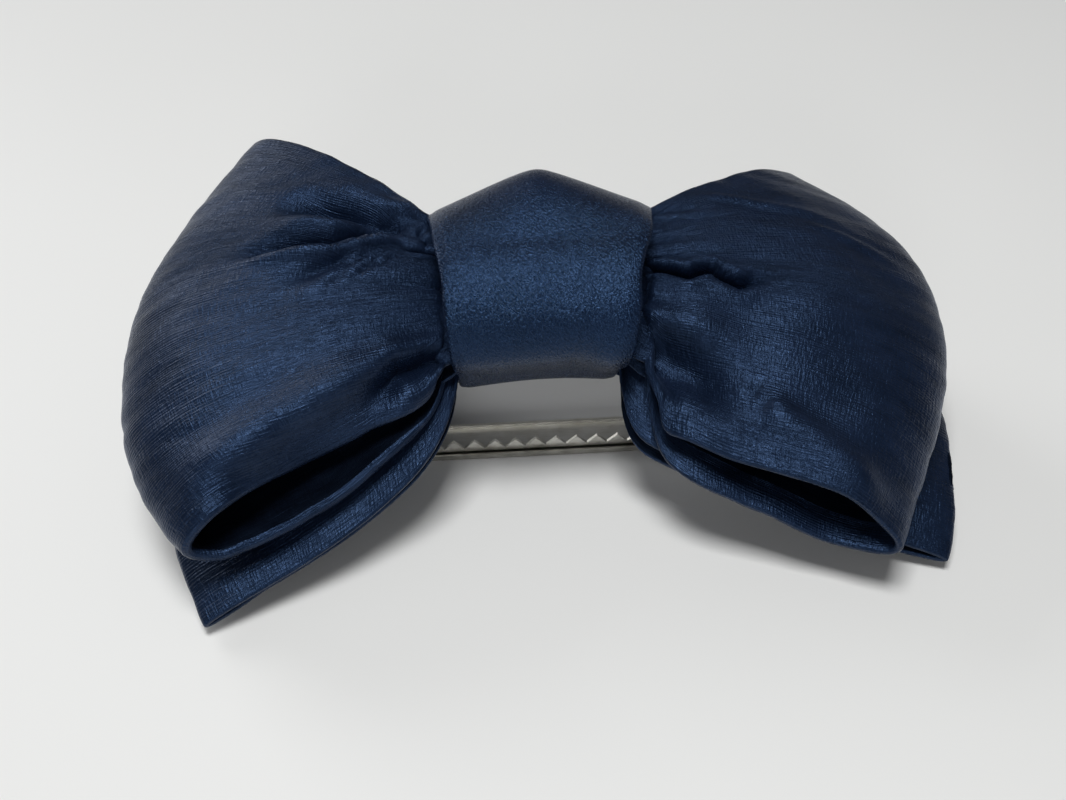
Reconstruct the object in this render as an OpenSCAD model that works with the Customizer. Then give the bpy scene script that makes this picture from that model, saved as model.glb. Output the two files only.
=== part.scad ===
// Double hair bow on an arched, spring-closed hair clip.
// X runs along the bow, +Y is the bow's upper edge, +Z is its face.
// The origin is the middle of the lower jaw's flat underside.

/* [Front ribbon] */
// Half length of the front ribbon's left loop
front_left_reach = 63; // [60:0.5:66]
// Half length of the front ribbon's right loop
front_right_reach = 61.5; // [60:0.5:63]
// Thickness of the puffed left loop at its fullest
front_left_puff = 21; // [18:0.5:22]
// Thickness of the puffed right loop at its fullest
front_right_puff = 15; // [12:0.5:16]

/* [Back ribbon] */
// Half length of the back ribbon's left loop
back_left_reach = 58; // [56:0.5:60]
// Half length of the back ribbon's right loop
back_right_reach = 62; // [60:0.5:63]
// Thickness of the pressed back loops
back_puff = 5; // [4:0.5:6]

/* [Fabric] */
// Wall of a folded, doubled ribbon
ribbon_wall = 1.1; // [0.8:0.1:1.2]
// Wall of the knot band
band_wall = 1.2; // [0.8:0.1:1.3]
// Width of the knot band over the bow's face
band_top_w = 31.5; // [30:0.5:32]
// Width of the knot band under the clip
band_low_w = 22; // [20:0.5:23]
// How far the band's centre crease stands up at the bow's upper edge
band_ridge = 8; // [5:0.5:9]

/* [Clip] */
// Distance from the clip's tip to its hinge pin
jaw_len = 75; // [70:0.5:75]
// Width of the lower jaw
jaw_w = 7; // [6.8:0.1:7.4]
// Height of the arched jaw's underside over the table
arch_h = 19; // [18.5:0.25:19.25]
// Thickness of the arched jaw's sheet metal
sheet_t = 0.8; // [0.6:0.1:0.9]
// Distance between two teeth
tooth_pitch = 3.3; // [2.8:0.1:3.8]
// Height of the teeth's tips over the table
tooth_top = 3; // [2.8:0.1:3.1]
// Radius of the hinge pin
pin_r = 0.6; // [0.5:0.05:0.7]

/* [Hidden] */
$fn = 48;

navy = [0.12, 0.18, 0.30];
dark_navy = [0.07, 0.11, 0.19];
silver = [0.74, 0.73, 0.69];
dark_steel = [0.42, 0.42, 0.41];

// Middle of the gathered bundle in Y, and the height of each ribbon's gather
gather_y = 4;
front_gather_z = 31.4;
back_gather_z = 23.4;
front_gather_half = [10.6, 5];
back_gather_half = [9, 2.4];
front_gather_len = 15.4;
back_gather_len = 13.4;
// How much higher each gather's upper edge lies than its lower edge
front_lean = 2.5;
back_lean = 0.5;

// Each loop's fold line goes through three points: lower edge, middle, upper edge
front_left_fold = [[-53, -31, 14.5], [-front_left_reach, -1, 22], [-46, 33.5, 34]];
front_right_fold = [[48.5, -34.5, 10], [front_right_reach, -3, 19.5], [44, 31, 26.5]];
back_left_fold = [[-50, -35, 2.2], [-back_left_reach, -3, 7], [-50, 33, 2.2]];
back_right_fold = [[57, -30.5, 2.2], [back_right_reach, -2, 8.5], [54, 31, 2.2]];

// How each loop spreads from its gather, at the lower edge, the middle and the upper edge.
// Below 1 it spreads at once, over 1 it spreads late: first in Y, then in Z.
front_left_spread = [[0.75, 1, 1.25], [0.8, 1, 1]];
front_right_spread = [[0.5, 1, 1.15], [0.5, 1, 1.1]];
back_left_spread = [[0.45, 0.8, 0.8], [0.4, 0.92, 0.6]];
back_right_spread = [[0.36, 0.8, 0.8], [0.33, 0.92, 0.6]];
ring_steps = 20;
across_steps = 9;
pinch_half = 1.3;

// Hinge
hinge_x = jaw_len - 36;
hinge_z = 3.6;
tip_x = -36;
running_gap = 0.05;
bridge_z = 5.9;
bridge_start_x = 32.6;
tail_end_x = 49;
tail_rise = 1.2;
ear_r = 1.7;
upper_ear_y = 3.2;
lower_ear_y = 2.5;
ear_t = 0.6;

// Lower jaw and its toothed strip
base_t = 0.5;
rim_h = 0.9;
rim_t = 0.3;
strip_wall = 0.5;
strip_z = 0.9;
strip_floor_t = 0.4;
strip_half_w = 2.6;
plain_wall_top = 1.9;
tooth_root = 1.4;
tooth_count = 20;
rivet_x = 30;
rivet_r = 0.5;

// Arched jaw
arch_end_z = 3.4;
arch_half = 36;
arch_rise = arch_h - arch_end_z;
arch_r = (arch_half * arch_half + arch_rise * arch_rise) / (2 * arch_rise);
arch_centre_z = arch_h - arch_r;
upper_jaw_w = 6;
lining_t = 0.6;
lining_half_w = 2.8;

// Torsion spring
wire_r = 0.27;
coil_r = 1.45;
coil_pitch = 0.5;
coil_turns = 5;
spring_leg_len = 7;

// Outline of the knot band in the YZ plane
band_outline = [
    [-4.2, 17], [-8.6, 21.6], [-10.8, 27.5], [-8.8, 34], [-2, 38.6],
    [6.5, 39.5], [14, 36], [18.3, 28.8], [15, 21], [6.5, 17]
];
band_steps = 4;
band_across = 8;
// Extra width where the band leaves the face, and sideways shift under the clip
band_flare = 2.5;
band_skew = 1.6;

// A point on the quadratic curve through a fold's three points, t from -1 to 1
function fold_at(fold, t) =
    fold[0] * (t * t - t) / 2 + fold[1] * (1 - t * t) + fold[2] * (t * t + t) / 2;

// A point on the gather's edge line, from which a loop starts
function root_at(root, lean, t) = [root[0], gather_y + root[2] * t, root[1] + lean * t];

// How far out along the loop a ring angle is, and how full the loop is there
function out_share(angle) = pow(sin(angle / 2), 2);
function fullness(out) = 2 * pow(out, 0.75) * sqrt(max(0, 1 - out));

// One point of a loop's middle surface
function loop_point(fold, spread, root, t, out) =
    let (end = fold_at(fold, t))
    [
        root[0] + (end[0] - root[0]) * out,
        root[1] + (end[1] - root[1]) * pow(out, fold_at(spread[0], t)),
        root[2] + (end[2] - root[2]) * pow(out, fold_at(spread[1], t))
    ];

function half_puff(out, t, puff, edge_share) = puff / 2 * (1 - (1 - edge_share) * t * t) * fullness(out);

// Faces of an open-ended tube with a wall: outer rings first, then inner rings
function tube_faces(n, m) =
    let (inner = n * m)
    concat(
        [for (j = [0:m - 2], i = [0:n - 1]) [j * n + i, (j + 1) * n + i, (j + 1) * n + (i + 1) % n]],
        [for (j = [0:m - 2], i = [0:n - 1]) [j * n + i, (j + 1) * n + (i + 1) % n, j * n + (i + 1) % n]],
        [for (j = [0:m - 2], i = [0:n - 1])
            [inner + j * n + i, inner + (j + 1) * n + (i + 1) % n, inner + (j + 1) * n + i]],
        [for (j = [0:m - 2], i = [0:n - 1])
            [inner + j * n + i, inner + j * n + (i + 1) % n, inner + (j + 1) * n + (i + 1) % n]],
        [for (j = [0, m - 1], i = [0:n - 1]) let (a = j * n + i, b = j * n + (i + 1) % n)
            j == 0 ? [a, b, inner + b] : [b, a, inner + a]],
        [for (j = [0, m - 1], i = [0:n - 1]) let (a = j * n + i, b = j * n + (i + 1) % n)
            j == 0 ? [a, inner + b, inner + a] : [b, inner + a, inner + b]]
    );

function flipped(faces) = [for (f = faces) [f[0], f[2], f[1]]];

// One puffed ribbon loop, open at its two long edges. root = [x, z, half width] of its gather
module ribbon_loop(fold, spread, root, lean, puff, edge_share) {
    angles = [for (i = [0:ring_steps - 1]) (i + 0.5) * 360 / ring_steps];
    ts = [for (j = [0:across_steps - 1]) -1 + 2 * j / (across_steps - 1)];
    outer = [for (t = ts, a = angles)
        let (out = out_share(a), h = max(pinch_half, half_puff(out, t, puff, edge_share)))
        loop_point(fold, spread, root_at(root, lean, t), t, out)
            + [0, 0, (a < 180 ? 1 : -1) * h]];
    inner = [for (t = ts, a = angles)
        let (out = 0.06 + 0.91 * out_share(a), h = max(pinch_half, half_puff(out, t, puff, edge_share)))
        loop_point(fold, spread, root_at(root, lean, t), t, out)
            + [0, 0, (a < 180 ? 1 : -1) * (h - ribbon_wall)]];
    faces = tube_faces(ring_steps, across_steps);
    polyhedron(concat(outer, inner), root[0] > 0 ? faces : flipped(faces), convexity = 6);
}

// An ellipse in the YZ plane, drawn out along X
module bundle(half, y, z, len) {
    translate([-len / 2, y, z])
        rotate([90, 0, 90])
            linear_extrude(len)
                polygon([for (a = [0:10:350]) [half[0] * cos(a), half[1] * sin(a)]]);
}

module front_ribbon() {
    half = front_gather_half[0];
    color(navy) {
        ribbon_loop(front_left_fold, front_left_spread, [-front_gather_len, front_gather_z, half],
            front_lean, front_left_puff, 0.62);
        ribbon_loop(front_right_fold, front_right_spread, [front_gather_len, front_gather_z, half],
            front_lean, front_right_puff, 0.75);
        bundle(front_gather_half, gather_y, front_gather_z, 2 * front_gather_len + 2);
    }
}

module back_ribbon() {
    half = back_gather_half[0];
    color(navy) {
        ribbon_loop(back_left_fold, back_left_spread, [-back_gather_len, back_gather_z, half],
            back_lean, back_puff, 0.5);
        ribbon_loop(back_right_fold, back_right_spread, [back_gather_len, back_gather_z, half],
            back_lean, back_puff, 0.5);
        bundle(back_gather_half, gather_y, back_gather_z, 2 * back_gather_len + 2);
    }
}

// A smooth closed curve through the points, with n steps between two of them
function smooth_loop(p, n) =
    let (c = len(p))
    [for (i = [0:c - 1], k = [0:n - 1])
        let (a = p[(i + c - 1) % c], b = p[i], d = p[(i + 1) % c], e = p[(i + 2) % c], u = k / n)
        b + (d - a) * u / 2 + (2 * a - 5 * b + 4 * d - e) * u * u / 2
            + (3 * b - a - 3 * d + e) * u * u * u / 2];

// The curve's points moved outwards by a distance
function moved_out(p, by) =
    let (c = len(p))
    [for (i = [0:c - 1])
        let (d = p[(i + 1) % c] - p[(i + c - 1) % c]) p[i] + by * [-d[1], d[0]] / norm(d)];

// The band is widest over the face and narrowest under the clip
function band_x(p, s) =
    let (share = min(1, max(0, (p[1] - 17) / 18)), flare = max(0, p[0] - 6) / 10 * share)
    s * (band_low_w + (band_top_w - band_low_w) * share + band_flare * flare) / 2
        - band_skew * (1 - share);

// Under the clip the band follows the arch
function band_sag(p, x) = (1 - min(1, max(0, (p[1] - 17) / 6))) * x * x / (2 * arch_r);

// The crease stands up most at the bow's upper edge
function ridge_at(p, s) =
    let (share = max(0, (p[0] - 2) / 16) * max(0, (p[1] - 24) / 14))
    band_ridge * min(1, share) * (1 - abs(s));

module knot_band() {
    outline = smooth_loop(band_outline, band_steps);
    inner_line = moved_out(outline, -band_wall);
    count = len(outline);
    outer = [for (j = [0:band_across], i = [0:count - 1])
        let (s = -1 + 2 * j / band_across, p = outline[i], x = band_x(p, s), lift = ridge_at(p, s))
        [x, p[0] + 0.72 * lift, p[1] + 0.7 * lift - band_sag(p, x)]];
    inner = [for (j = [0:band_across], i = [0:count - 1])
        let (s = -1 + 2 * j / band_across, p = outline[i], q = inner_line[i], x = band_x(p, s),
            lift = ridge_at(p, s))
        [x, q[0] + 0.72 * lift, q[1] + 0.7 * lift - band_sag(p, x)]];
    color(navy)
        polyhedron(concat(outer, inner), flipped(tube_faces(count, band_across + 1)), convexity = 6);
}

// Two bundles' common outline, wound by the binding thread
module gather_thread() {
    bound = smooth_loop([
        [gather_y - 9.6, 22], [gather_y - 11.4, 31], [gather_y - 8.2, 35.6], [gather_y, 37],
        [gather_y + 8.2, 35.6], [gather_y + 11.4, 31], [gather_y + 9.6, 22], [gather_y, 20.75]
    ], 5);
    color(dark_navy)
        for (x = [-2.4:1.2:2.4])
            translate([x - 0.3, 0, 0])
                rotate([90, 0, 90])
                    linear_extrude(0.6)
                        difference() {
                            polygon(moved_out(bound, 0.45));
                            polygon(bound);
                        }
}

// Hand stitches that close the knot band behind the clip
module knot_stitches() {
    color(dark_navy)
        for (x = [-8:4:8])
            translate([x, 5.2, band_outline[0][1] - 0.85 - x * x / (2 * arch_r)])
                rotate([90, 0, 12])
                    cylinder(r = 0.18, h = 3, center = true, $fn = 16);
}

module glue_pad() {
    color([0.85, 0.83, 0.76])
        translate([-8, -2, arch_h + sheet_t])
            cube([16, 5, 0.4]);
}

// A strip that follows the arch, between two radii
module arch_strip(r_in, r_out, width, x_from, x_to) {
    intersection() {
        translate([0, 0, arch_centre_z])
            rotate([90, 0, 0])
                difference() {
                    cylinder(r = r_out, h = width, center = true, $fn = 180);
                    cylinder(r = r_in, h = width + 2, center = true, $fn = 180);
                }
        translate([x_from, -width, 0])
            cube([x_to - x_from, 2 * width, 2 * arch_h]);
    }
}

module jaw_lining() {
    color(dark_navy)
        arch_strip(arch_r - lining_t, arch_r, 2 * lining_half_w, -30, 27);
}

// An ear plate round the hinge, reaching up or down to its own jaw
module ear(y, z_from, z_to) {
    translate([hinge_x, y + ear_t / 2, hinge_z])
        rotate([90, 0, 0])
            cylinder(r = ear_r, h = ear_t);
    translate([hinge_x - ear_r, y - ear_t / 2, z_from])
        cube([2 * ear_r, ear_t, z_to - z_from]);
}

module hinge_hole(r) {
    translate([hinge_x, 0, hinge_z])
        rotate([90, 0, 0])
            cylinder(r = r, h = 2 * jaw_w, center = true);
}

module upper_jaw() {
    ear_top = bridge_z + sheet_t;
    color(silver)
        difference() {
            union() {
                arch_strip(arch_r, arch_r + sheet_t, upper_jaw_w, tip_x, bridge_start_x + 0.6);
                translate([bridge_start_x, -jaw_w / 2, bridge_z])
                    cube([hinge_x + ear_r - bridge_start_x, jaw_w, sheet_t]);
                translate([hinge_x + ear_r - 0.4, 0, bridge_z + sheet_t])
                    rotate([90, 0, 0])
                        linear_extrude(jaw_w, center = true)
                            polygon([
                                [0, -sheet_t],
                                [tail_end_x - hinge_x - ear_r, tail_rise - sheet_t],
                                [tail_end_x - hinge_x - ear_r, tail_rise],
                                [0, 0]
                            ]);
                for (side = [-1, 1])
                    ear(side * upper_ear_y, hinge_z, ear_top);
            }
            hinge_hole(pin_r + running_gap);
        }
}

module lower_jaw() {
    color(silver)
        difference() {
            union() {
                translate([tip_x - 1, -jaw_w / 2, 0])
                    cube([tail_end_x - tip_x + 1, jaw_w, base_t]);
                for (side = [-1, 1])
                    translate([tip_x - 1, side * (jaw_w / 2 - rim_t / 2) - rim_t / 2, 0])
                        cube([tail_end_x - tip_x + 1, rim_t, rim_h]);
                for (side = [-1, 1])
                    ear(side * lower_ear_y, base_t / 2, hinge_z);
            }
            hinge_hole(pin_r + running_gap);
            for (x = [-rivet_x, rivet_x])
                translate([x, 0, -1])
                    cylinder(r = rivet_r, h = 3);
        }
}

// A channel with a toothed wall on the bow's lower side and a plain wall behind it
module toothed_strip() {
    half_len = tooth_count * tooth_pitch / 2;
    color(silver)
        difference() {
            union() {
                translate([-half_len, -strip_half_w, strip_z])
                    cube([2 * half_len, 2 * strip_half_w, strip_floor_t]);
                translate([-half_len, strip_half_w - strip_wall, strip_z])
                    cube([2 * half_len, strip_wall, plain_wall_top - strip_z]);
                translate([0, -strip_half_w + strip_wall, 0])
                    rotate([90, 0, 0])
                        linear_extrude(strip_wall)
                            polygon(concat(
                                [[-half_len, strip_z]],
                                [for (i = [0:2 * tooth_count])
                                    [-half_len + i * tooth_pitch / 2, i % 2 == 0 ? tooth_root : tooth_top]],
                                [[half_len, strip_z]]
                            ));
                for (x = [-rivet_x, rivet_x])
                    translate([x, 0, base_t])
                        cylinder(r = 2 * rivet_r, h = strip_z - base_t + 0.1);
            }
            for (x = [-rivet_x, rivet_x])
                translate([x, 0, 0])
                    cylinder(r = rivet_r, h = 3);
        }
}

module strip_rivets() {
    head_h = 0.35;
    color(dark_steel)
        for (x = [-rivet_x, rivet_x]) {
            translate([x, 0, 0])
                cylinder(r = rivet_r, h = strip_z + strip_floor_t);
            translate([x, 0, strip_z + strip_floor_t])
                cylinder(r = 2 * rivet_r, h = head_h);
        }
}

module hinge_pin() {
    shank = 2 * upper_ear_y + ear_t + 0.1;
    head_h = 0.4;
    color(dark_steel)
        translate([hinge_x, 0, hinge_z])
            rotate([90, 0, 0]) {
                cylinder(r = pin_r, h = shank, center = true);
                for (side = [-1, 1])
                    translate([0, 0, side * (shank + head_h) / 2])
                        cylinder(r = 2 * pin_r, h = head_h, center = true);
            }
}

// Rings of wire side by side round the pin, at the given places along it
module wire_rings(places) {
    translate([hinge_x, 0, hinge_z])
        rotate([90, 0, 0])
            rotate_extrude()
                for (y = places)
                    translate([coil_r, -y])
                        circle(r = wire_r, $fn = 40);
}

module spring_leg(y, side, angle) {
    translate([hinge_x, y, hinge_z + side * coil_r])
        rotate([0, 90 + angle, 0])
            cylinder(r = wire_r * 0.96, h = spring_leg_len, $fn = 40);
}

module torsion_spring() {
    color(dark_steel) {
        wire_rings([for (i = [0:coil_turns]) (i - 2) * coil_pitch]);
        spring_leg(3 * coil_pitch, 1, -4.5);
    }
}

module spring_jaw_leg() {
    color(dark_steel) {
        wire_rings([-1.62]);
        spring_leg(-1.62, -1, 10.5);
    }
}

front_ribbon();
back_ribbon();
knot_band();
gather_thread();
knot_stitches();
glue_pad();
jaw_lining();
upper_jaw();
lower_jaw();
toothed_strip();
strip_rivets();
hinge_pin();
torsion_spring();
spring_jaw_leg();
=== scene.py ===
"""Navy double hair bow on an arched, toothed hair clip, lying on a pale table."""
import math

import bpy
import numpy as np
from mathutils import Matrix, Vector


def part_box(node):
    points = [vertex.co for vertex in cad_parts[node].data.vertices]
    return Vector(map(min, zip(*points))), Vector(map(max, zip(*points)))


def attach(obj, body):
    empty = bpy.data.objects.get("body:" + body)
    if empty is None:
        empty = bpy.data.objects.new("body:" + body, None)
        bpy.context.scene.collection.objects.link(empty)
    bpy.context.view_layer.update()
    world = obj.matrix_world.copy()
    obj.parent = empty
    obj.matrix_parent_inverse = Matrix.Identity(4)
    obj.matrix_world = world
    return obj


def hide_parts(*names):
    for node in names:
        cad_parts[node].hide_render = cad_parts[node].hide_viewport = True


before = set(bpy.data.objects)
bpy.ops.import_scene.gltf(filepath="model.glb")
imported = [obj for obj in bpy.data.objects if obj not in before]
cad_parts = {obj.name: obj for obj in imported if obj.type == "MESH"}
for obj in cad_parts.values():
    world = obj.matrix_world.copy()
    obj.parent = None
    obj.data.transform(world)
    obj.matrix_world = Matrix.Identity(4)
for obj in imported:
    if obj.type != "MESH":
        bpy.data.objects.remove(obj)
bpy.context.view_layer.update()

MM = 0.001

# ---------------------------------------------------------------- sizes, in mm
# Where a ribbon is gathered beside the knot. Its lower and upper edges are at (y, z) low_root and
# high_root, and swell is how far its front rises inside the knot.
FRONT = {
    "gather_x": 15.4, "low_root": (-9.2, 26.2), "high_root": (14.0, 33.6), "centre_z": 31.5,
    "gather_thick": 1.5, "swell": 4.8,
}
BACK = {
    "gather_x": 13.4, "low_root": (-5.0, 22.9), "high_root": (13.0, 23.9), "centre_z": 24.0,
    "gather_thick": 1.2, "swell": 0.0,
}

# A loop's fold line and spread have a value at the lower edge, the middle and the upper edge. Its
# panels lie puff apart from the middle, and edge_share of that at its edges. low_front, low_curl,
# low_back, low and high move an edge: the power with which the move dies out across the cloth, then
# rows of (share along the loop, dx, dy, dz).
FRONT_LEFT = {
    "side": -1, "fold": [[-51.0, -31, 14.5], [-62.3, -1, 22], [-45, 34.2, 34.4]], "bend": 0,
    "spread_y": [0.75, 1.0, 1.25], "spread_z": [0.8, 1.0, 1.0], "puff": 20.0, "edge_share": 0.62,
    "low_front": (5, [(0, 0, 0, -2), (0.06, 0, -0.5, -4.6), (0.12, 0, -0.5, -4.5), (0.2, 0, -0.5, -3.6),
                      (0.3, 0, -0.3, -2.6), (0.46, 0, 0, -2), (0.6, 0, 0, -1.2), (0.8, 0, 0, 0),
                      (1, 0, 0, 0)]),
    "low_back": (3, [(0, 0, 0, -2), (0.05, 0, -1, -3), (0.12, 0, -1.5, -1.5), (0.3, 0, -1.5, -0.6),
                     (0.46, 0, -2, -0.4), (0.6, 0, -1.8, -0.2), (0.88, 0, -1.2, -0.2), (1, 0, 0, 0)]),
    "high": (2.5, [(0, 0, -0.4, 0), (0.05, 0, -1.3, -0.5), (0.12, 0, -1.3, -0.5), (0.2, 0, -1, -0.4),
                   (0.3, 0, -0.3, 0), (0.5, 0, 0.1, 0), (0.76, 0.2, 0.5, 0.2), (1, 0, 0.3, 0.2)]),
    "low_curl": (8, [(0, 0, 0, 0), (0.14, 0, 0.6, -0.6), (0.3, 0, 2.6, -2.6), (0.55, 0, 4.4, -4.6),
                     (0.75, 0, 2.8, -2.8), (0.9, 0, 0, 0), (1, 0, 0, 0)]),
}
FRONT_RIGHT = {
    "side": 1, "fold": [[47.4, -34, 10.2], [61.2, -3, 19.5], [45, 31, 26.5]], "bend": 6,
    "spread_y": [0.42, 1.0, 1.15], "spread_z": [0.5, 1.0, 1.1], "puff": 14.5, "edge_share": 0.75,
    # Columns at each edge of the inner side left without its painted shade, so the lower lip shows lighter.
    "unshaded_edge": 7,
    "low_front": (5, [(0, -1, 0, -3), (0.05, -1.5, -1, -6), (0.12, -0.5, -0.5, -4), (0.2, 0, -0.5, -3),
                      (0.3, 0, -0.3, -2), (0.46, 0, 0, 0), (0.6, 0, 0.5, 0.7), (0.76, 0, 0.8, 0.9),
                      (0.88, 0, 0.4, 0.6), (1, 0, 0, 0)]),
    "low_back": (3, [(0, -1, 0, -3), (0.05, -2, -2, -4.5), (0.12, -1.2, -2.5, -3), (0.2, -0.5, -2.2, -1.6),
                     (0.3, 0, -1.2, -0.6), (0.46, 0, 0, 0), (0.76, 0, 0.5, 0.2), (1, 0, 0, 0)]),
    "high": (2.5, [(0, 0, -0.8, 0), (0.05, 0, -1.4, -0.5), (0.12, 0, -1.3, -0.5), (0.3, 0, -0.7, -0.2),
                   (0.46, 0, -0.5, -0.1), (0.6, 0, -0.2, 0), (1, 0, 0, 0)]),
}
BACK_LEFT = {
    "side": -1, "fold": [[-50, -35, 2.2], [-58, -3, 7], [-50, 33, 2.2]], "bend": 0,
    "spread_y": [0.45, 0.8, 0.8], "spread_z": [0.4, 0.92, 0.6], "puff": 4.4, "edge_share": 0.6,
    "low": (2, [(0, 0, 0, 0), (0.12, 0, 0, 0), (0.3, 0, 0.8, 0), (0.76, 0, 0.8, 0), (1, 0, 0.3, 0)]),
    "low_back": (3, [(0, 0, 0.6, 0.3), (0.12, 0, 1.2, 0.3), (0.5, 0, 1.7, 0.2), (0.8, 0, 1.5, 0.2),
                     (1, 0, 0, 0)]),
}
BACK_RIGHT = {
    "side": 1, "fold": [[57, -30.5, 2.2], [62, -2, 8.5], [54, 31, 2.2]], "bend": 0,
    "spread_y": [0.36, 0.8, 0.8], "spread_z": [0.33, 0.92, 0.6], "puff": 4.4, "edge_share": 0.6,
    "low": (2, [(0, -2.6, -0.6, -2.4), (0.05, -3, -1, -1.5), (0.12, -1.2, 0, -0.4), (0.3, 0, 0.6, 0),
                (0.5, 0, 1.2, 0), (0.76, 0, 0.9, 0), (1, 0, 0, 0)]),
}

# A loop's gathered cloth: its length from knot to fold, half its width at the knot, and what that
# half gains on the way to the fold
CLOTH_LONG = 46
CLOTH_HALF = 11
CLOTH_GAIN = 21
RIDGE_AT = 1.7  # ridges beside a crease, in crease widths
DIMPLE_R = 0.8
DIMPLE_DEPTH = 0.9
BACK_FOLDS = 0.35  # depth of a back panel's folds, as a share of the front panel's
GATHER_DEPTH = 0.4
GATHER_FADE = 0.16  # share of the loop in which the gathers die out
GATHER_WANDER = 1.3  # how uneven the gathers are, in radians of their wave
GATHER_EDGE_LOSS = 0.3  # share of their depth that they lose at the edges
BACK_PHASE = 1.1  # radians between the gathers in front and behind

# Low waves in the cloth: height and size in mm
RIPPLE_H, RIPPLE_SIZE = 0.25, 24
CRINKLE_H, CRINKLE_SIZE = 0.07, 4.5

EDGE_FROM = 0.8  # share of a loop's half width where the cloth thickens to its edge
PRESSED_SHARE = 0.6  # the cloth's thickness inside the knot, as a share of that outside

# Inside the knot: how many rows each gather has, how far out the last one is, and how tight they are
HIDDEN_ROWS = 7
HIDDEN_SHARE = 0.92
HIDDEN_TIGHT = 0.82
HIDDEN_LOOSE = 0.96
KNOT_MIDDLE_Y = 4.0

# Knot band: outline in the YZ plane, widths at the top and bottom, and the height of its lower side
BAND_OUTLINE = [
    [-3.6, 17.4], [-7.6, 22.2], [-10.9, 28], [-8.8, 34], [-2, 38.6],
    [6.5, 39.5], [14, 36], [18.3, 28.8], [15, 21], [6.5, 17],
]
BAND_TOP_W = 31.5
BAND_LOW_W = 22.0
BAND_BASE_Z = 17.0
BAND_WIDENS = 18.0  # height over which it widens
BAND_FLARE = 2.5
BAND_SKEW = 1.6
BAND_RIDGE = 11.5
BAND_WAIST = 2.15
BAND_WAIST_SHIFT = 0.75
BAND_HALF = 0.55
OUTLINE_STEPS = 16

# Arched jaw: height of its underside, and radius from half its span and its rise
ARCH_H = 19.0
ARCH_HALF_SPAN = 36.0
ARCH_RISE = 15.6
ARCH_R = (ARCH_HALF_SPAN**2 + ARCH_RISE**2) / (2 * ARCH_RISE)


# ---------------------------------------------------------------- small helpers
def through3(values, t):
    """The quadratic through values at t = -1, 0 and 1."""
    low, mid, high = (np.asarray(v, float) for v in values)
    t = np.asarray(t)[..., None] if low.ndim else np.asarray(t)
    return low * (t * t - t) / 2 + mid * (1 - t * t) + high * (t * t + t) / 2


def smooth(x, a, b):
    """0 before a and 1 after b, with a soft start and end."""
    k = np.clip((x - a) / (b - a), 0, 1)
    return k * k * (3 - 2 * k)


def waves(x, y, seed, size, count=7):
    """A soft random field from seeded sine waves, about -1 to 1."""
    rng = np.random.default_rng(seed)
    out = np.zeros_like(x)
    for _ in range(count):
        angle, phase = rng.uniform(0, math.tau, 2)
        k = math.tau / size * rng.uniform(0.6, 1.5)
        out += np.sin(k * (x * math.cos(angle) + y * math.sin(angle)) + phase)
    return out / math.sqrt(count)


def unit(v):
    """Vectors made 1 long."""
    return v / np.maximum(np.linalg.norm(v, axis=-1, keepdims=True), 1e-9)


def mesh_object(name, surface, material, shaded_inner_cloth=None):
    """A smooth-shaded mesh from (points in mm, faces, one UV in mm per face corner, inner flags)."""
    points, faces, uv, inner = surface
    mesh = bpy.data.meshes.new(name)
    mesh.from_pydata([tuple(p) for p in np.asarray(points) * MM], [], faces)
    layer = mesh.uv_layers.new(name="cloth")
    layer.data.foreach_set("uv", np.asarray(uv, float).reshape(-1))
    mesh.polygons.foreach_set("use_smooth", [True] * len(mesh.polygons))
    mesh.materials.append(material)
    # Faces on the loops' inner side take the second cloth, which is duller and darker: its dark colour is
    # painted shade.
    if shaded_inner_cloth:
        mesh.materials.append(shaded_inner_cloth)
        mesh.polygons.foreach_set("material_index", [int(flag) for flag in inner])
    mesh.update()
    obj = bpy.data.objects.new(name, mesh)
    bpy.context.scene.collection.objects.link(obj)
    return obj


def cloth_section(grid, half, roll_steps, closed):
    """Rings of points round a middle surface: one side, a rolled edge, the other side and edge."""
    if closed:
        along = np.roll(grid, -1, axis=0) - np.roll(grid, 1, axis=0)
    else:
        along = np.gradient(grid, axis=0)
    across = np.gradient(grid, axis=1)
    normal = unit(np.cross(along, across))
    tangent = unit(across)
    rolls = (np.arange(1, roll_steps + 1) / (roll_steps + 1)) * math.pi
    h = half[..., None]
    parts = [grid + normal * h]
    parts += [
        (grid + tangent * h * math.sin(a) + normal * h * math.cos(a))[:, -1:] for a in rolls
    ]
    parts += [(grid - normal * h)[:, ::-1]]
    parts += [
        (grid - tangent * h * math.sin(a) - normal * h * math.cos(a))[:, :1] for a in rolls
    ]
    return np.concatenate(parts, axis=1)


def running_length(steps):
    """How far along a line each of its points is, with the last step twice."""
    out = np.concatenate([[0], np.cumsum(steps), [0]])
    out[-1] = out[-2] + steps[-1]
    return out


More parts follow.
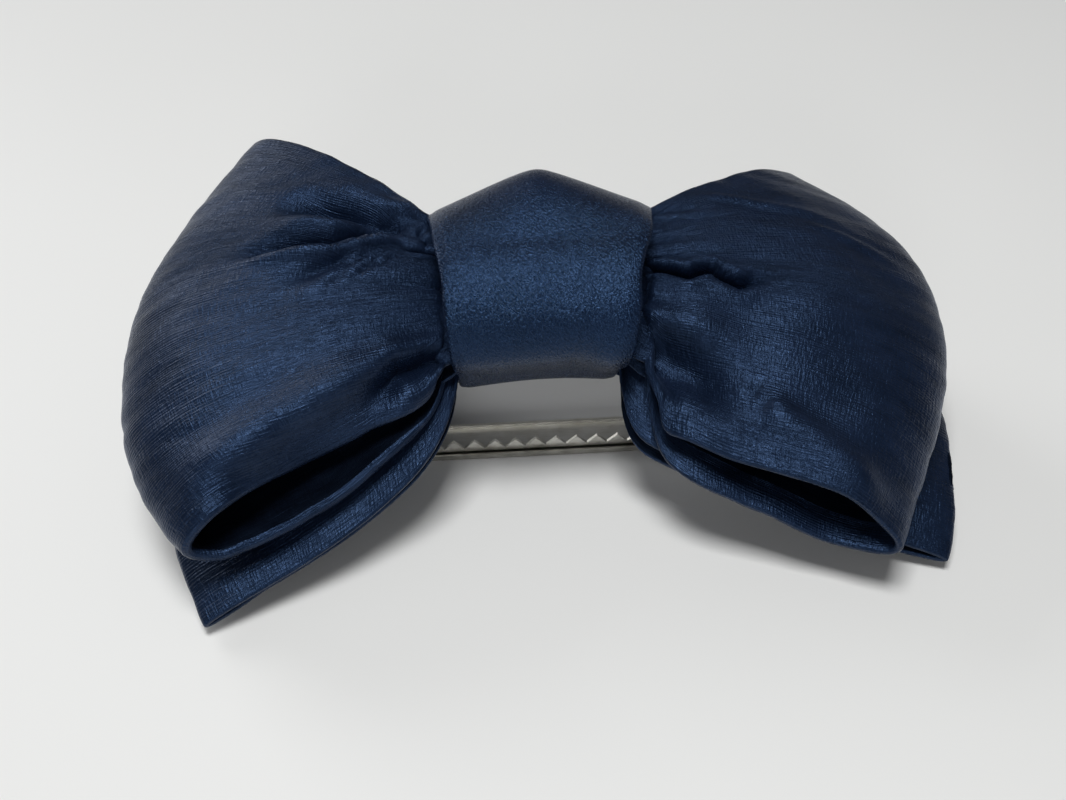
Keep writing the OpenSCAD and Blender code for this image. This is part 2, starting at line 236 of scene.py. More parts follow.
def cloth_strip(grid, half, roll_steps=5, closed=False, inner_side=0, unshaded_edge=0):
    """A band of cloth with rounded edges round a middle surface.

    grid is (rows along, columns across, 3) in mm, half the half thickness at each grid point.
    inner_side is 1 or -1 where one side is the cloth's wrong side, a duller cloth whose darker colour
    is painted shade, apart from an edge some columns wide, left without the painted shade, which keeps
    the face cloth and so shows lighter. Returns points, faces, UVs and whether each face is on that side."""
    ring = cloth_section(grid, half, roll_steps, closed)
    rows, size = ring.shape[:2]
    columns = grid.shape[1]
    u = running_length(np.linalg.norm(np.diff(grid[:, columns // 2], axis=0), axis=1))
    v = running_length(np.linalg.norm(np.diff(ring, axis=1), axis=2).max(axis=0))
    faces, uv, inner = [], [], []
    first = {0: size, 1: 0, -1: columns + roll_steps}[inner_side]
    for i in range(rows if closed else rows - 1):
        nxt = (i + 1) % rows
        for j in range(size):
            k = (j + 1) % size
            inner.append(first + unshaded_edge <= j < first + columns - 1 - unshaded_edge)
            faces.append((i * size + j, nxt * size + j, nxt * size + k, i * size + k))
            uv += [(u[i], v[j]), (u[i + 1], v[j]), (u[i + 1], v[j + 1]), (u[i], v[j + 1])]
    if not closed:
        for i, order in ((0, range(size)), (rows - 1, range(size - 1, -1, -1))):
            faces.append(tuple(i * size + j for j in order))
            uv += [(u[i], v[j]) for j in order]
            inner.append(False)
    return ring.reshape(-1, 3), faces, uv, inner


def joined(parts):
    """Several surfaces as one."""
    points, faces, uv, inner, base = [], [], [], [], 0
    for p, f, t, side in parts:
        points.append(p)
        faces += [tuple(i + base for i in face) for face in f]
        uv += t
        inner += side
        base += len(p)
    return np.concatenate(points), faces, uv, inner


# ---------------------------------------------------------------- cloth folds
def cloth_place(s, t):
    """Share along a loop and across it, as mm on its gathered cloth."""
    return s * CLOTH_LONG, t * (CLOTH_HALF + CLOTH_GAIN * s)


def crease(x, y, path, width, depth, ridge=0.35, lean=0.0, fade=(0.02, 0.5)):
    """A valley along a path of (share along, share across), with a low ridge on each side.

    A negative depth makes a ridge. lean over 0 makes the side towards the upper edge steeper,
    under 0 the other side. fade is the share of the path over which it starts and dies out."""
    path = [cloth_place(a, b) for a, b in path]
    lengths = [math.dist(a, b) for a, b in zip(path[:-1], path[1:])]
    total, done = sum(lengths), 0.0
    signed = np.full(x.shape, 1e9)
    place = np.zeros_like(x)
    for (ax, ay), (bx, by), length in zip(path[:-1], path[1:], lengths):
        dx, dy = (bx - ax) / length, (by - ay) / length
        k = np.clip((x - ax) * dx + (y - ay) * dy, 0, length)
        ex, ey = x - ax - k * dx, y - ay - k * dy
        dist = np.hypot(ex, ey)
        near = dist < np.abs(signed)
        signed = np.where(near, np.where(dx * ey - dy * ex >= 0, dist, -dist), signed)
        place = np.where(near, (done + k) / total, place)
        done += length
    strength = depth * smooth(place, -0.01, fade[0]) * (1 - smooth(place, 1 - fade[1], 1.02))
    d = signed / (width * (0.75 + 0.5 * place))
    d = np.where(d > 0, d * (1 + max(lean, 0)), d * (1 + max(-lean, 0)))
    return strength * (-np.exp(-d * d) + ridge * np.exp(-((np.abs(d) - RIDGE_AT) ** 2)))


def dimple(x, y, s, t):
    """A small round hollow."""
    cx, cy = cloth_place(s, t)
    return -DIMPLE_DEPTH * np.exp(-((x - cx) ** 2 + (y - cy) ** 2) / DIMPLE_R**2)


# Path, width, depth, then any other settings of crease
LEFT_CREASES = [
    ([(0.1, 0.66), (0.18, 0.66), (0.25, 0.61), (0.36, 0.6), (0.48, 0.61), (0.6, 0.61)], 2.0, 3.6,
     {"fade": (0.2, 0.4)}),
    ([(0.12, 0.52), (0.19, 0.47), (0.26, 0.38), (0.35, 0.28), (0.45, 0.26), (0.54, 0.24), (0.7, 0.21)],
     1.8, 3.5, {"lean": -1.6, "fade": (0.2, 0.5)}),
    ([(0.24, 0.2), (0.3, 0.17), (0.39, 0.06), (0.51, -0.02)], 1.5, 1.5, {"fade": (0.3, 0.5)}),
    ([(0.21, 0.29), (0.27, 0.13), (0.32, -0.04), (0.37, -0.13)], 0.6, 0.8, {"fade": (0.2, 0.5)}),
    ([(0.18, 0.29), (0.23, 0.07), (0.29, -0.06)], 0.55, 0.7, {"fade": (0.2, 0.5)}),
    ([(0.14, 0.28), (0.19, 0.12), (0.22, 0.02)], 0.5, 0.65, {"fade": (0.2, 0.5)}),
    ([(0, 0.41), (0.03, 0.41), (0.13, 0.36)], 0.45, 0.9, {}),
    ([(0, -0.88), (0.06, -0.8), (0.15, -0.79), (0.24, -0.86), (0.34, -0.93)], 1.1, 3.0,
     {"fade": (0.02, 0.6)}),
    ([(0.1, -0.66), (0.35, -0.74), (0.6, -0.8), (0.95, -0.88)], 2.1, -2.7,
     {"ridge": 0, "fade": (0.3, 0.25)}),
]
LEFT_DIMPLES = [(0.15, 0.68), (0.115, 0.62), (0.07, 0.66), (0.045, 0.53)]
RIGHT_CREASES = [
    ([(0, 0.11), (0.07, 0.06), (0.13, -0.02), (0.17, 0.04), (0.21, 0.06), (0.24, -0.01), (0.3, -0.06),
      (0.33, -0.02), (0.41, 0)], 1.0, 4.0, {"ridge": 0.2, "lean": 0.6, "fade": (0.02, 0.35)}),
    ([(0, -0.82), (0.05, -0.73), (0.13, -0.73), (0.22, -0.75), (0.31, -0.8)], 2.1, 3.6,
     {"fade": (0.05, 0.6)}),
    ([(0.01, -0.85), (0.05, -0.84), (0.1, -0.87)], 0.5, 0.9, {"fade": (0.1, 0.6)}),
    ([(0, -0.94), (0.06, -0.89), (0.13, -0.89), (0.24, -0.91), (0.4, -0.94)], 1.0, -1.3,
     {"ridge": 0, "fade": (0.05, 0.5)}),
    ([(0.22, 0.95), (0.38, 0.84), (0.49, 0.71), (0.63, 0.62), (0.8, 0.5)], 0.8, -0.4, {"fade": (0.3, 0.5)}),
    ([(0.04, 0.87), (0.23, 0.72), (0.39, 0.66)], 0.6, -0.35, {"fade": (0.2, 0.5)}),
    ([(0.55, 0.54), (0.7, 0.42), (0.82, 0.33), (0.9, 0.27)], 0.9, -0.35, {"fade": (0.3, 0.4)}),
    ([(0.3, -0.72), (0.46, -0.8), (0.6, -0.85), (0.76, -0.9), (0.94, -0.97)], 1.7, -1.7,
     {"ridge": 0, "fade": (0.3, 0.3)}),
    ([(0, -0.3), (0.12, -0.35), (0.3, -0.42)], 4.0, -1.0, {"ridge": 0, "fade": (0.05, 0.6)}),
]
RIGHT_DIMPLES = [(0.36, -0.73), (0.4, -0.77)]


def all_folds(x, y, creases, dimples):
    """The height that a panel's creases and dimples add to its cloth."""
    out = np.zeros_like(x)
    for path, width, depth, settings in creases:
        out += crease(x, y, path, width, depth, **settings)
    for place in dimples:
        out += dimple(x, y, *place)
    return out


# ---------------------------------------------------------------- ribbon loops
def table_shift(table, s):
    """A move in mm from a table of rows (share along the loop, dx, dy, dz), smoothed."""
    table = np.asarray(table, float)
    fine = np.linspace(0, 1, 201)
    reach = 13
    kernel = np.hanning(2 * reach + 1) / np.hanning(2 * reach + 1).sum()
    out = []
    for column in table.T[1:]:
        line = np.interp(fine, table[:, 0], column)
        line = np.pad(line, reach, mode="reflect", reflect_type="odd")
        out.append(np.interp(s, fine, np.convolve(line, kernel, mode="valid")))
    return np.stack(out, axis=-1)


def loop_middle(gather, loop, s, t, turn):
    """A loop's smooth middle surface, before its folds. turn is 1 on its front and -1 on its back."""
    low, high = gather["low_root"], gather["high_root"]
    root = np.stack([
        np.full_like(s, loop["side"] * gather["gather_x"]),
        (high[0] + low[0]) / 2 + (high[0] - low[0]) / 2 * t,
        (high[1] + low[1]) / 2 + (high[1] - low[1]) / 2 * t,
    ], axis=-1)
    safe = np.maximum(s, 1e-6)
    share_y = safe ** through3(loop["spread_y"], t)
    share_z = safe ** through3(loop["spread_z"], t)
    share = np.stack([s, share_y, share_z], axis=-1)
    middle = root + (through3(loop["fold"], t) - root) * share
    depth = 1 - (1 - loop["edge_share"]) * t * t
    middle[..., 2] += turn * (gather["gather_thick"] * (1 - s) ** 3 + loop["puff"] * depth * safe**0.75)
    middle[..., 0] += loop["bend"] * t * (1 - t * t) * s
    front, back, both = turn > 0, turn <= 0, np.ones_like(turn)
    moves = (("low_front", front, -t), ("low_curl", front, -t), ("low_back", back, -t),
             ("low", both, -t), ("high", both, t))
    for key, panel, towards in moves:
        if key in loop:
            power, table = loop[key]
            middle += table_shift(table, s) * (((1 + towards) / 2) ** power * panel)[..., None]
    return middle


def fold_lift(s, t, turn, creases, dimples, seed, gathers):
    """How far the folds stand proud of the middle surface: gathers, ripples, creases, dimples."""
    x, y = cloth_place(s, t)
    wander = GATHER_WANDER * waves(t * 10, x * 0, seed, size=9, count=3)
    gather_wave = np.sin(t * gathers * math.pi + wander + (turn < 0) * BACK_PHASE)
    lift = GATHER_DEPTH * np.exp(-s / GATHER_FADE) * gather_wave * (1 - GATHER_EDGE_LOSS * np.abs(t))
    lift += RIPPLE_H * smooth(s, 0.08, 0.5) * waves(x, y, seed + 1, RIPPLE_SIZE)
    lift += CRINKLE_H * waves(x * 0.35, y, seed + 2, CRINKLE_SIZE)
    shown = all_folds(x, y, creases, dimples)
    return lift + np.where(turn > 0, shown, BACK_FOLDS * shown[:, ::-1]) * smooth(np.abs(turn), 0.02, 0.2)


def loop_grid(gather, loop, creases, dimples, seed, gathers, rows=150, columns=121):
    """The middle surface of one loop: out along its front, over its fold and back behind."""
    u = np.linspace(0, 1, rows)[:, None]
    t = np.linspace(-1, 1, columns)[None, :] + 0 * u
    s = np.sin(math.pi * u) ** 2 + 0 * t
    turn = np.cos(math.pi * u) + 0 * t
    middle = loop_middle(gather, loop, s, t, turn)
    lift = fold_lift(s, t, turn, creases, dimples, seed, gathers)
    direction = unit(np.cross(np.gradient(middle, axis=0), np.gradient(middle, axis=1)))
    if loop["side"] > 0:
        direction = -direction
    grid = middle + direction * lift[..., None] * np.sign(direction[:1, :1, 2:3])
    # The hidden gather runs on to the middle of the knot, at both ends of the loop
    steps = np.linspace(0, HIDDEN_SHARE, HIDDEN_ROWS)[:, None, None]
    squeeze = np.where(steps < 0.8, HIDDEN_TIGHT, HIDDEN_LOOSE)
    centre = np.array([0.0, KNOT_MIDDLE_Y, gather["centre_z"]])
    first = centre + (np.repeat(grid[:1], HIDDEN_ROWS, axis=0) - centre) * squeeze
    last = centre + (np.repeat(grid[-1:], HIDDEN_ROWS, axis=0) - centre) * squeeze[::-1]
    first[..., 0:1] = grid[:1, :, 0:1] * steps
    # Inside the knot the front gather swells up to fill the band
    dome = (1 - t[:1] ** 2) ** 0.7
    first[..., 2] += gather["swell"] * dome * (1 - smooth(steps[..., 0], 0.6, 1.0))
    last[..., 0:1] = grid[-1:, :, 0:1] * steps[::-1]
    return np.concatenate([first, grid, last], axis=0)


def loop_strip(gather, loop, creases, dimples, seed, gathers, body_half, edge_half, **size):
    """A loop with its cloth's thickness: thin at the knot and fuller at its edges."""
    grid = loop_grid(gather, loop, creases, dimples, seed, gathers, **size)
    columns = np.linspace(-1, 1, grid.shape[1])[None, :]
    half = body_half + (edge_half - body_half) * smooth(np.abs(columns), EDGE_FROM, 1.0)
    half = half + np.zeros(grid.shape[:2])
    rows = np.linspace(0, 1, grid.shape[0])[:, None]
    past_knot = smooth(np.minimum(rows, 1 - rows), 0.03, 0.2)
    pressed = body_half * PRESSED_SHARE
    half = pressed + (half - pressed) * past_knot
    return cloth_strip(grid, half, inner_side=-loop["side"], unshaded_edge=loop.get("unshaded_edge", 0))


# ---------------------------------------------------------------- materials
class Nodes:
    """A short way to write a node material."""

    def __init__(self, name):
        self.material = bpy.data.materials.new(name)
        self.material.use_nodes = True
        self.tree = self.material.node_tree
        self.shader = self.tree.nodes["Principled BSDF"]

    def add(self, kind, inputs=None, **settings):
        node = self.tree.nodes.new(kind)
        for key, value in settings.items():
            setattr(node, key, value)
        for key, value in (inputs or {}).items():
            self.put(node.inputs[key], value)
        return node

    def put(self, socket, value):
        if isinstance(value, bpy.types.NodeSocket):
            self.tree.links.new(value, socket)
        else:
            socket.default_value = value

    def look(self, inputs):
        """Sets the surface shader's own inputs."""
        for key, value in inputs.items():
            self.put(self.shader.inputs[key], value)

    def math(self, operation, a, b=0.0):
        return self.add("ShaderNodeMath", {0: a, 1: b}, operation=operation).outputs[0]

    def line(self, value, slope, base):
        """value times slope, plus base."""
        return self.math("ADD", self.math("MULTIPLY", value, slope), base)

    def weigh(self, first, share, second):
        """share of the first value, and the second for the rest."""
        rest = self.math("MULTIPLY", second, 1 - share)
        return self.math("ADD", self.math("MULTIPLY", first, share), rest)

    def noise(self, vector, scale, detail=2.0, rough=0.5):
        inputs = {"Vector": vector, "Scale": scale, "Detail": detail, "Roughness": rough}
        return self.add("ShaderNodeTexNoise", inputs).outputs["Fac"]

    def scaled(self, vector, x, y, z=1.0, turn=0.0):
        inputs = {"Vector": vector, "Scale": (x, y, z), "Rotation": (0, 0, turn)}
        return self.add("ShaderNodeMapping", inputs).outputs[0]

    def ramp(self, fac, stops):
        node = self.add("ShaderNodeValToRGB", {"Fac": fac})
        ramp = node.color_ramp
        while len(ramp.elements) < len(stops):
            ramp.elements.new(0.5)
        for element, (place, colour) in zip(ramp.elements, stops):
            element.position = place
            element.color = (*colour, 1)
        return node.outputs["Color"]

    def bump(self, height, distance, strength=1.0, normal=None):
        inputs = {"Height": height, "Distance": distance, "Strength": strength}
        if normal is not None:
            inputs["Normal"] = normal
        return self.add("ShaderNodeBump", inputs).outputs["Normal"]


def bands(n, vector, period, axis, distortion=0.0):
    """Bands across a UV in mm, one every period mm."""
    wave = n.add("ShaderNodeTexWave", {
        "Vector": vector, "Scale": math.tau / 20 / period, "Distortion": distortion,
        "Detail": 2.0, "Detail Scale": 1.5,
    }, bands_direction=axis)
    return wave.outputs["Fac"]


def cloth_look(n, tone, deep, lit, rough, gloss, tint, sheen_rough, normal):
    """What all the bow's cloths share: navy from deep to lit, a tinted gloss and a little sheen."""
    n.look({
        "Base Color": n.ramp(tone, [(0.4, deep), (0.62, lit)]), "Roughness": rough,
        "Sheen Weight": 0.05, "Sheen Roughness": sheen_rough, "Sheen Tint": (0.3, 0.5, 1.0, 1),
        "Specular IOR Level": gloss, "Specular Tint": tint, "Normal": normal,
    })


# Heights of the cloths' relief, in m
SLUB_H = 0.00022
RIB_H = 0.00002
SPECKLE_H = 0.00026
TWILL_H = 0.00002


def taffeta(name, deep, lit, gloss, relief):
    """Crisp ribbed cloth: slub threads along the loop, finer threads across, and uneven sheen."""
    n = Nodes(name)
    uv = n.add("ShaderNodeUVMap", uv_map="cloth").outputs[0]
    slubs = n.noise(n.scaled(uv, 0.13, 2.3), 1.0, detail=3.0, rough=0.65)
    cross = n.noise(n.scaled(uv, 2.4, 0.5), 1.0, rough=0.6)
    patches = n.noise(n.scaled(uv, 0.1, 0.16), 1.0, detail=3.0, rough=0.6)
    weave = n.weigh(slubs, 0.55, cross)
    coarse = n.bump(weave, SLUB_H * relief, strength=0.9)
    ribs = n.bump(bands(n, uv, 0.5, "Y", 1.5), RIB_H * relief, strength=0.8, normal=coarse)
    rough = n.line(weave, -0.6, 0.62)
    cloth_look(n, n.weigh(weave, 0.6, patches), deep, lit, rough, gloss, (0.28, 0.5, 1.0, 1), 0.35, ribs)
    return n.material


def satin(name, deep, lit, gloss):
    """Smooth satin: a fine diagonal weave whose floats catch the light as speckles."""
    n = Nodes(name)
    uv = n.add("ShaderNodeUVMap", uv_map="cloth").outputs[0]
    diagonal = n.scaled(uv, 1.0, 1.0, 1.0, math.radians(38))
    floats = n.noise(n.scaled(diagonal, 2.8, 1.6), 1.0, rough=0.7)
    patches = n.noise(n.scaled(uv, 0.08, 0.08), 1.0)
    twill = n.bump(bands(n, diagonal, 0.45, "X", 1.5), TWILL_H, strength=0.7)
    speckle = n.bump(floats, SPECKLE_H, strength=0.9, normal=twill)
    rough = n.line(floats, -0.36, 0.44)
    cloth_look(n, n.weigh(floats, 0.65, patches), deep, lit, rough, gloss, (0.24, 0.48, 1.0, 1), 0.3, speckle)
    return n.material


def thread_material(name):
    """Spun thread with fine fibres."""
    n = Nodes(name)
    place = n.add("ShaderNodeTexCoord").outputs["Object"]
    fibre = n.noise(n.scaled(place, 4000, 1500, 4000), 1.0, detail=3.0)
    n.look({
        "Base Color": n.ramp(fibre, [(0.3, (0.006, 0.010, 0.022)), (0.7, (0.018, 0.028, 0.055))]),
        "Roughness": 0.6, "Sheen Weight": 0.3, "Normal": n.bump(fibre, 0.00004),
    })
    return n.material


def metal(name, dull, bright, low, high, grain=(300, 9000, 9000)):
    """Plated sheet metal: fine drawn lines, faint stains, and roughness that changes with both."""
    n = Nodes(name)
    place = n.add("ShaderNodeTexCoord").outputs["Object"]
    lines = n.noise(n.scaled(place, *grain), 1.0, detail=3.0, rough=0.6)
    stains = n.noise(n.scaled(place, 260, 420, 420), 1.0, detail=4.0, rough=0.6)
    tone = n.weigh(lines, 0.35, stains)
    n.look({
        "Base Color": n.ramp(tone, [(0.35, dull), (0.6, bright)]), "Metallic": 1.0,
        "Roughness": n.line(tone, high - low, low), "Normal": n.bump(lines, 0.000012, 0.5),
    })
    return n.material


def glue_material(name):
    """Cloudy hot-melt glue."""
    n = Nodes(name)
    place = n.add("ShaderNodeTexCoord").outputs["Object"]
    cloud = n.noise(place, 900, detail=3.0)
    n.look({
        "Base Color": n.ramp(cloud, [(0.3, (0.62, 0.55, 0.40)), (0.7, (0.80, 0.76, 0.62))]),
        "Roughness": 0.28, "Transmission Weight": 0.35, "Normal": n.bump(cloud, 0.0002, 0.6),
    })
    return n.material


def floor_material(name):
    """A pale, faintly uneven table top."""
    n = Nodes(name)
    place = n.add("ShaderNodeTexCoord").outputs["Object"]
    stops = [(0.3, (0.80, 0.805, 0.802)), (0.7, (0.825, 0.83, 0.828))]
    n.look({
        "Base Color": n.ramp(n.noise(place, 6), stops), "Roughness": 0.55, "Specular IOR Level": 0.3,
    })
    return n.material


ribbon_cloth = taffeta("taffeta_navy", (0.0018, 0.0042, 0.012), (0.0072, 0.014, 0.035), 0.5, 1.6)
# The loops' inner side: a duller cloth whose darker colour is painted shade for the insides of the loops.
reverse_cloth_painted_shade = taffeta("taffeta_reverse_painted_shade", (0.001, 0.0016, 0.0035), (0.0035, 0.006, 0.013), 0.08, 0.8)
knot_cloth = satin("satin_knot", (0.001, 0.0022, 0.007), (0.0042, 0.0095, 0.028), 0.7)
lining_cloth = taffeta("lining", (0.002, 0.0035, 0.009), (0.008, 0.014, 0.032), 0.3, 0.7)
dark_thread = thread_material("thread_navy")
clip_metal = metal("clip_metal", (0.74, 0.72, 0.65), (0.96, 0.95, 0.90), 0.28, 0.52)
jaw_metal = metal("jaw_metal", (0.30, 0.29, 0.26), (0.52, 0.51, 0.47), 0.26, 0.5)
pin_metal = metal("pin_metal", (0.40, 0.39, 0.37), (0.62, 0.61, 0.58), 0.22, 0.45)
spring_metal = metal("spring_metal", (0.20, 0.20, 0.21), (0.42, 0.42, 0.43), 0.25, 0.5, (4000, 4000, 4000))
glue = glue_material("glue")


# ---------------------------------------------------------------- cloth pieces
def finish_piece(obj, slot, *nodes):
    """A piece rides with the bow, and stands for its CAD nodes."""
    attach(obj, "bow")
    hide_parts(*nodes)


def make_front_ribbon():
    """The front ribbon's two puffed loops."""
    left = loop_strip(FRONT, FRONT_LEFT, LEFT_CREASES, LEFT_DIMPLES, 11, 6, 0.45, 0.85)
    right = loop_strip(FRONT, FRONT_RIGHT, RIGHT_CREASES, RIGHT_DIMPLES, 23, 7, 0.45, 0.6)
    obj = mesh_object("front_ribbon_cloth", joined([left, right]), ribbon_cloth, reverse_cloth_painted_shade)
    finish_piece(obj, "taffeta", "front_ribbon")


def make_back_ribbon():
    """The flatter loops behind, which need fewer points."""
    size = {"rows": 96, "columns": 56}
    left = loop_strip(BACK, BACK_LEFT, [], [], 31, 5, 0.35, 0.45, **size)
    right = loop_strip(BACK, BACK_RIGHT, [], [], 47, 5, 0.35, 0.45, **size)
    obj = mesh_object("back_ribbon_cloth", joined([left, right]), ribbon_cloth, reverse_cloth_painted_shade)
    finish_piece(obj, "taffeta", "back_ribbon")


def closed_spline(points, steps):
    """A closed smooth curve through the points."""
    p = np.asarray(points, float)
    out = []
    for i in range(len(p)):
        a, b, c, d = (p[(i + k) % len(p)] for k in (-1, 0, 1, 2))
        for k in range(steps):
            u = k / steps
            out.append(b + (c - a) * u / 2 + (2 * a - 5 * b + 4 * c - d) * u * u / 2
                       + (3 * b - a - 3 * c + d) * u**3 / 2)
    return np.array(out)


def band_relief(s, x, y, z):
    """How far the knot band stands out from its plain shape: a soft fold, swellings and ripples."""
    # A soft fold from the crease down to the band's right lower corner
    fold_y = [-10, -6, 1, 8]
    fold_s = [0.62, 0.52, 0.45, 0.1]
    side = s - np.interp(y, fold_y, fold_s)
    near = smooth(z, 24, 29) * smooth(-y, -9, 3)
    ripple = near * (-0.12 * np.exp(-(side / 0.1) ** 2) + 0.1 * np.exp(-((side - 0.22) / 0.14) ** 2))
    # The front's lower half swells at its sides
    swell_s = [-1, -0.5, 0, 0.4, 0.55, 0.8, 1]
    swell = np.interp(s, swell_s, [0.4, 0.25, 0.0, -0.2, 0.1, 0.9, 0.9])
    ripple = ripple + swell * np.exp(-(((z - 26) / 4.5) ** 2)) * smooth(-y, 0, 6)
    uneven = 0.04 * waves(x + 0 * y, y + z + 0 * s, 5, 15)
    edge = 0.25 * smooth(np.abs(s), 0.9, 1.0)
    return ripple + uneven - edge


def band_grid(across=57):
    """The knot band's middle surface, with its crease and relief.

    s runs from -1 to 1 across the band, and the front is where y is low."""
    line = closed_spline(BAND_OUTLINE, OUTLINE_STEPS)
    ahead = np.roll(line, -1, axis=0) - np.roll(line, 1, axis=0)
    inward = unit(np.stack([ahead[:, 1], -ahead[:, 0]], axis=1))
    line = line + inward * BAND_HALF
    s = np.linspace(-1, 1, across)[None, :]
    y, z = line[:, :1], line[:, 1:]
    share = np.clip((z - BAND_BASE_Z) / BAND_WIDENS, 0, 1)
    flare = np.maximum(0, y - 6) / 10 * share
    x = s * (BAND_LOW_W + (BAND_TOP_W - BAND_LOW_W) * share + BAND_FLARE * flare) / 2
    waist = share * smooth(-y, -6, 6)
    x = x - BAND_SKEW * (1 - share) - (BAND_WAIST * s + BAND_WAIST_SHIFT) * waist
    # The crease that stands up behind, highest in the middle of the band
    lift = BAND_RIDGE * np.minimum(1, np.maximum(0, y - 2) / 16 * np.maximum(0, z - 24) / 14)
    lift = lift * (1 - np.sqrt(s * s + 0.01))
    # Under the clip the band follows the jaw's arch
    sag = (1 - np.clip((z - BAND_BASE_Z) / 6, 0, 1)) * x * x / (2 * ARCH_R)
    grid = np.stack([x, y + 0.72 * lift + 0 * s, z + 0.7 * lift - sag], axis=-1)
    out = -np.stack([np.zeros_like(inward[:, :1]), inward[:, :1], inward[:, 1:]], axis=-1)
    return grid + out * band_relief(s, x, y, z)[..., None]


def make_knot_band():
    """The satin band round the gathers and the clip."""
    grid = band_grid()
    half = np.full(grid.shape[:2], BAND_HALF)
    obj = mesh_object("knot_band_cloth", cloth_strip(grid, half, closed=True), knot_cloth)
    finish_piece(obj, "satin", "knot_band")


def arch_point(x, y, height):
    """A point in mm on the arch, height over its underside."""
    r = ARCH_R + height
    return [x * r / ARCH_R, y, ARCH_H - ARCH_R + r * math.sqrt(1 - (x / ARCH_R) ** 2)]


def make_lining():
    """Ribbon glued under the arched jaw and turned up over its edges."""
    half_section = [(2.0, 1.2), (2.9, 1.2), (3.35, 0.9), (3.4, 0.3), (3.2, -0.25), (1.5, -0.35)]
    section = [(-y, h) for y, h in half_section] + half_section[::-1]
    first_x, last_x, half = -30, 27, 0.16
    grid = np.array([[arch_point(x, y, h) for y, h in section] for x in np.linspace(first_x, last_x, 60)])
    strip = cloth_strip(grid, np.full(grid.shape[:2], half), roll_steps=3)
    obj = mesh_object("jaw_lining_ribbon", strip, lining_cloth)
    finish_piece(obj, "lining", "jaw_lining")


def ring_surface(rings):
    """A closed surface through rings of points, as points, faces, UVs and inner flags."""
    rows, sides = rings.shape[:2]
    faces, uv = [], []
    for i in range(rows - 1):
        for j in range(sides):
            k = (j + 1) % sides
            faces.append((i * sides + j, (i + 1) * sides + j, (i + 1) * sides + k, i * sides + k))
            uv += [(i, j), (i + 1, j), (i + 1, j + 1), (i, j + 1)]
    for i, order in ((0, range(sides)), (rows - 1, range(sides - 1, -1, -1))):
        faces.append(tuple(i * sides + j for j in order))
        uv += [(i, j) for j in order]
    return rings.reshape(-1, 3), faces, uv, [False] * len(faces)


def tube(path, radius, sides=8):
    """A round thread along a path in mm."""
    path = np.asarray(path, float)
    ahead = unit(np.gradient(path, axis=0))
    side = unit(np.cross(ahead, [1.0, 0.02, 0.03]))
    up = np.cross(ahead, side)
    a = (np.arange(sides) * math.tau / sides)[None, :, None]
    return ring_surface(path[:, None] + radius * (np.cos(a) * side[:, None] + np.sin(a) * up[:, None]))


def make_winding():
    """The binding thread, wound nine times round both gathers."""
    bound = closed_spline([
        [-5.6, 22], [-7.4, 31], [-4.2, 35.6], [4, 37],
        [12.2, 35.6], [15.4, 31], [13.6, 22], [4, 20.75],
    ], 8)
    turns, width, radius = 9, 4.8, 0.22
    count = turns * len(bound)
    path = [[width * (i / count - 0.5), *bound[i % len(bound)]] for i in range(count + 1)]
    obj = mesh_object("gather_winding", tube(path, radius), dark_thread)
    finish_piece(obj, "thread", "gather_thread")


def band_underside(y):
    """Height in mm of the knot band's lowest surface at y, in the middle of its width."""
    line = closed_spline(BAND_OUTLINE, OUTLINE_STEPS)
    low = line[line[:, 1] < 20]
    low = low[np.argsort(low[:, 0])]
    return np.interp(y, low[:, 0], low[:, 1])


def make_stitches():
    """Slanted hand stitches where the knot band closes behind the clip."""
    pitch, count, first_y, long_y, slant, radius = 2.0, 9, 3.9, 2.6, 0.25, 0.17
    sunk, bow_out = 0.15, 0.32
    k = np.linspace(0, 1, 9)
    y = first_y + long_y * k
    parts = []
    for x in (np.arange(count) - (count - 1) / 2) * pitch:
        z = band_underside(y) - x * x / (2 * ARCH_R) + sunk - bow_out * np.sin(math.pi * k)
        parts.append(tube(np.stack([x + slant * k, y, z], axis=-1), radius))
    obj = mesh_object("knot_stitch_thread", joined(parts), dark_thread)
    finish_piece(obj, "thread", "knot_stitches")


def make_glue():
    """A flattened bead of glue with an uneven rim, as large as its CAD node."""
    u = np.linspace(0.02, 1, 24)[:, None]
    a = np.linspace(0, math.tau, 40, endpoint=False)[None, :]
    rim = 1 + 0.08 * np.sin(3 * a + 1) + 0.05 * np.sin(7 * a)
    low, high = (np.array(c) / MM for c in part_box("glue_pad"))
    centre, half = (low + high) / 2, (high - low) / 2
    square = 0.6  # under 1 makes the round outline squarer
    x = centre[0] + half[0] * u * rim * np.sign(np.cos(a)) * np.abs(np.cos(a)) ** square
    y = centre[1] + half[1] * u * rim * np.sign(np.sin(a)) * np.abs(np.sin(a)) ** square
    bulge = half[2] * np.sqrt(np.clip(1 - u**6, 0, 1)) + 0 * a
    top = np.stack([x, y, centre[2] + bulge], axis=-1)
    below = np.stack([x, y, centre[2] - bulge], axis=-1)[::-1]
    obj = mesh_object("glue_bead", ring_surface(np.concatenate([top, below[1:]], axis=0)), glue)
    finish_piece(obj, "glue", "glue_pad")


make_front_ribbon()
make_back_ribbon()
make_knot_band()
make_lining()
make_winding()
make_stitches()
make_glue()


# ---------------------------------------------------------------- metal pieces
def finish_metal(node, material, bevel=0.0):
    """A CAD piece gets its material and, where bevel is over 0, softly broken edges."""
    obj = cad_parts[node]
    obj.data.materials.clear()
    obj.data.materials.append(material)
    if bevel:
        edge = obj.modifiers.new("broken_edges", "BEVEL")
        edge.width = bevel
        edge.segments = 2
        edge.limit_method = "ANGLE"
        edge.angle_limit = math.radians(35)


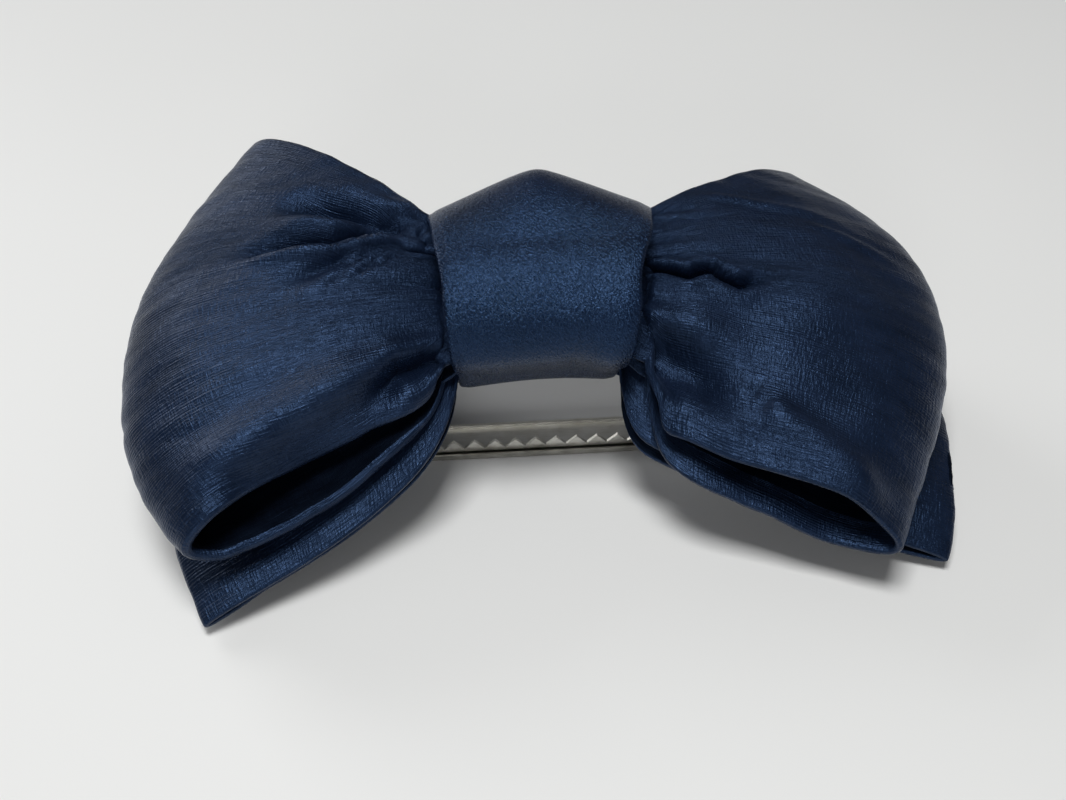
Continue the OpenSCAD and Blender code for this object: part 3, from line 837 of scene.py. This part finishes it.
METAL_PIECES = {
    "upper_jaw": (clip_metal, 0.08 * MM), "toothed_strip": (clip_metal, 0.08 * MM),
    "lower_jaw": (jaw_metal, 0.08 * MM), "hinge_pin": (pin_metal, 0.06 * MM),
    "strip_rivets": (pin_metal, 0.06 * MM), "torsion_spring": (spring_metal,),
    "spring_jaw_leg": (spring_metal,),
}
for node_name, finish in METAL_PIECES.items():
    finish_metal(node_name, *finish)


# ---------------------------------------------------------------- table, light and camera
def make_floor():
    """The table, just under the object."""
    half, drop = 1.6, 0.2 * MM
    corners = [(-half, -half, 0), (half, -half, 0), (half, half, 0), (-half, half, 0)]
    mesh = bpy.data.meshes.new("table_top")
    mesh.from_pydata(corners, [], [(0, 1, 2, 3)])
    mesh.materials.append(floor_material("table_white"))
    floor = bpy.data.objects.new("table_top", mesh)
    floor.location.z = -drop
    bpy.context.scene.collection.objects.link(floor)


def area_light(name, place, target, size, power, colour):
    """A flat lamp that faces its target."""
    light = bpy.data.lights.new(name, "AREA")
    light.shape = "RECTANGLE"
    light.size, light.size_y = size
    light.energy = power
    light.color = colour
    obj = bpy.data.objects.new(name, light)
    obj.location = place
    obj.rotation_euler = (Vector(target) - Vector(place)).to_track_quat("-Z", "Y").to_euler()
    bpy.context.scene.collection.objects.link(obj)


def make_light():
    """A dim pale room, a lamp overhead, a window behind to the left and a weak one in front."""
    world = bpy.data.worlds.new("room")
    world.use_nodes = True
    background = world.node_tree.nodes["Background"]
    background.inputs["Color"].default_value = (1.0, 1.0, 0.99, 1)
    background.inputs["Strength"].default_value = 0.11
    bpy.context.scene.world = world
    bow = (0, 0, 0.02)
    area_light("ceiling_panel", (-0.05, -0.12, 0.74), (0, 0, 0), (0.28, 0.22), 4.1, (1.0, 1.0, 0.99))
    area_light("back_window", (-0.6, 0.56, 0.44), bow, (0.45, 0.4), 2.3, (1.0, 1.0, 0.995))
    area_light("front_window", (-0.18, -0.85, 0.33), bow, (0.26, 0.18), 1.2, (1.0, 1.0, 1.0))


def make_camera():
    """The view from the bow's lower edge: 42 degrees up, 192 mm away."""
    elevation, azimuth, distance = math.radians(42), math.radians(-4), 0.192
    target = Vector((0, 0, 0.018))
    level = math.cos(elevation)
    back = Vector((math.sin(azimuth) * level, -math.cos(azimuth) * level, math.sin(elevation)))
    data = bpy.data.cameras.new("camera")
    data.sensor_width = 36
    data.lens = 42
    data.shift_x = -0.0113
    data.shift_y = -0.0394
    data.clip_start = 0.005
    camera = bpy.data.objects.new("camera", data)
    camera.location = target + back * distance
    camera.rotation_euler = (-back).to_track_quat("-Z", "Y").to_euler()
    bpy.context.scene.collection.objects.link(camera)
    bpy.context.scene.camera = camera


make_floor()
make_light()
make_camera()
bpy.context.scene.view_settings.view_transform = "Standard"
